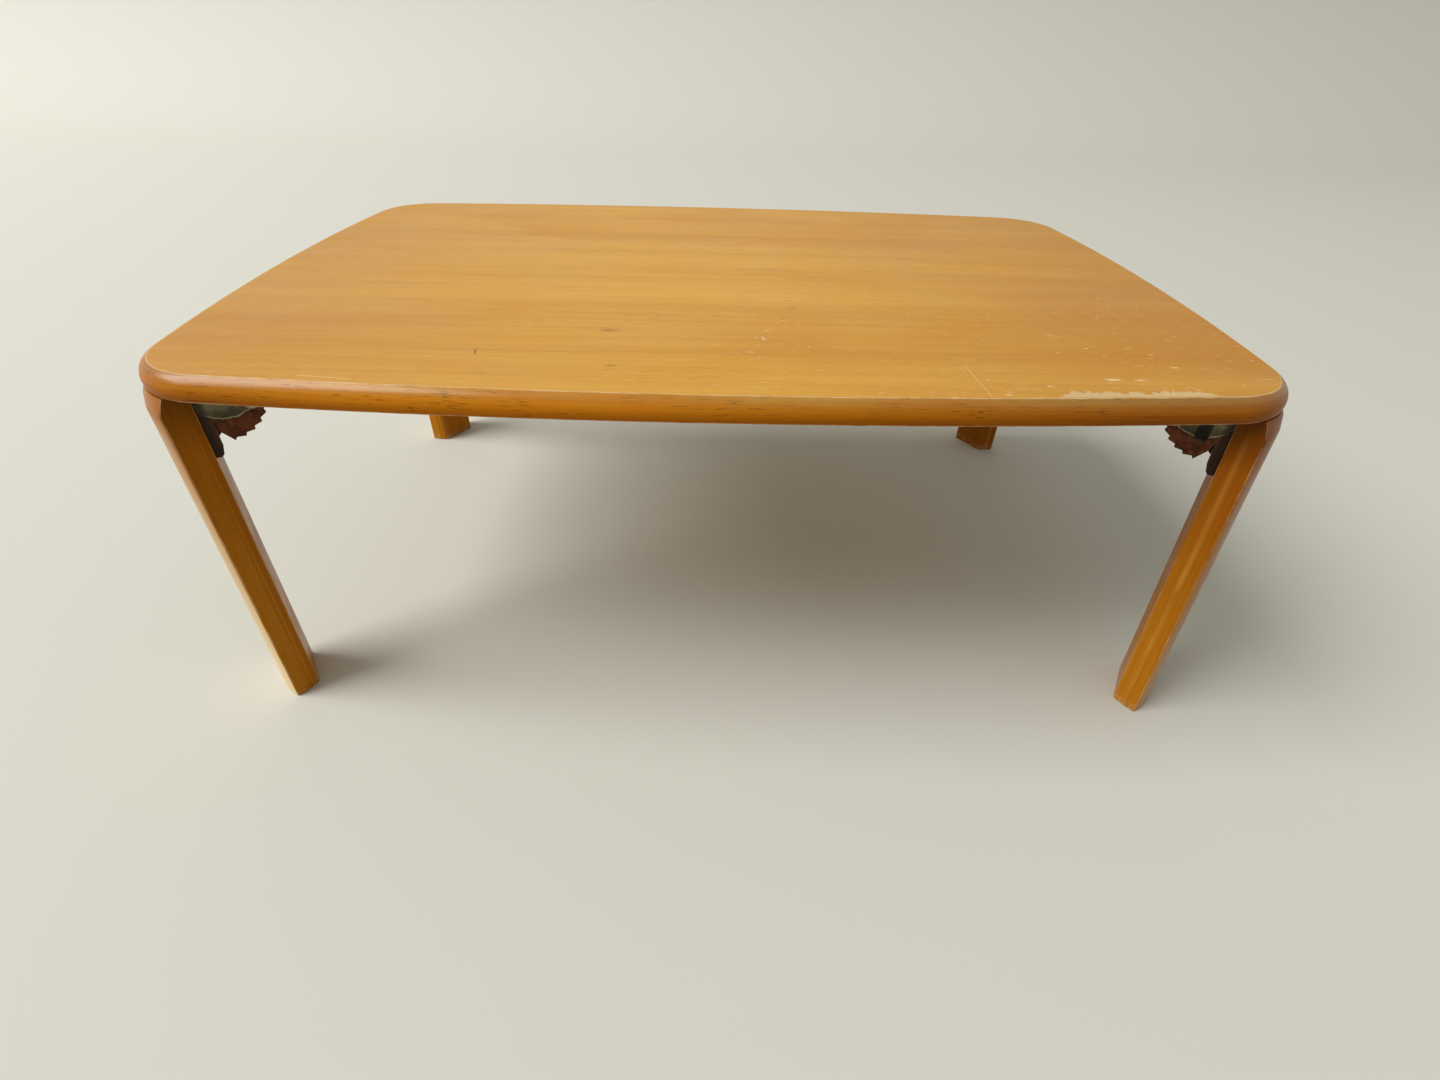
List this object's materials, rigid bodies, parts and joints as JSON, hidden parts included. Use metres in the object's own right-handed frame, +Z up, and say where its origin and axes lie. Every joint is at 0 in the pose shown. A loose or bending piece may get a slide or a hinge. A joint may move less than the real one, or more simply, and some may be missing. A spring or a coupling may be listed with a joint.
{
  "type": "folding low table",
  "caption": "Low wooden table with a bowed rectangular top, rounded edges and four slightly splayed legs that fold inward on stepped metal hinges.",
  "frame": {"origin": "on the floor, below the middle of the top", "axes": "+X along the long side to the right, +Y to the back edge, +Z up"},
  "size_m": [0.9, 0.6, 0.33],
  "materials": {
    "face veneer": "clear lacquer, semi-gloss, worn",
    "under veneer": "thin clear lacquer, dull",
    "edge wood": "amber lacquer, semi-gloss, worn at the arrises",
    "core wood": "raw, hidden inside",
    "leg wood": "amber lacquer, semi-gloss, worn at the edges",
    "zinc plate": "dull zinc, dirty",
    "lacquered plate": "brown lacquer with rust",
    "spring steel": "dark, oiled",
    "pin steel": "dull",
    "screw steel": "dull, lightly rusted"
  },
  "bodies": {
    "table top": {"top_sheet": "face veneer", "bottom_sheet": "under veneer", "edge_front": "edge wood", "edge_back": "edge wood", "edge_left": "edge wood", "edge_right": "edge wood", "core_slat_1": "core wood", "core_slat_2": "core wood", "core_slat_3": "core wood", "core_slat_4": "core wood", "core_slat_5": "core wood", "core_slat_6": "core wood", "core_slat_7": "core wood", "corner_block_front_left": "core wood", "corner_block_front_right": "core wood", "corner_block_back_right": "core wood", "corner_block_back_left": "core wood", "table_bracket_front_left": "lacquered plate", "table_bracket_front_right": "lacquered plate", "table_bracket_back_right": "lacquered plate", "table_bracket_back_left": "lacquered plate", "hinge_pins": "pin steel", "detent_leaf_front_left": "spring steel", "detent_leaf_front_right": "spring steel", "detent_leaf_back_right": "spring steel", "detent_leaf_back_left": "spring steel", "table_screws_front_left": "screw steel", "table_screws_front_right": "screw steel", "table_screws_back_right": "screw steel", "table_screws_back_left": "screw steel"},
    "leg front left": {"leg_front_left": "leg wood", "leg_bracket_front_left": "zinc plate", "leg_screws_front_left": "screw steel"},
    "leg front right": {"leg_front_right": "leg wood", "leg_bracket_front_right": "zinc plate", "leg_screws_front_right": "screw steel"},
    "leg back right": {"leg_back_right": "leg wood", "leg_bracket_back_right": "zinc plate", "leg_screws_back_right": "screw steel"},
    "leg back left": {"leg_back_left": "leg wood", "leg_bracket_back_left": "zinc plate", "leg_screws_back_left": "screw steel"}
  },
  "joints": [
    {"name": "fold_front_left", "type": "hinge", "parent": "table top", "child": "leg front left", "pos_m": [-0.37214, -0.22566, 0.2935], "axis": [0.5373, -0.8434, 0], "range_deg": [0, 90.6]},
    {"name": "fold_front_right", "type": "hinge", "parent": "table top", "child": "leg front right", "pos_m": [0.37214, -0.22566, 0.2935], "axis": [0.5373, 0.8434, 0], "range_deg": [0, 93]},
    {"name": "fold_back_right", "type": "hinge", "parent": "table top", "child": "leg back right", "pos_m": [0.37214, 0.22566, 0.2935], "axis": [-0.5373, 0.8434, 0], "range_deg": [0, 90.6]},
    {"name": "fold_back_left", "type": "hinge", "parent": "table top", "child": "leg back left", "pos_m": [-0.37214, 0.22566, 0.2935], "axis": [-0.5373, -0.8434, 0], "range_deg": [0, 90.6]}
  ]
}
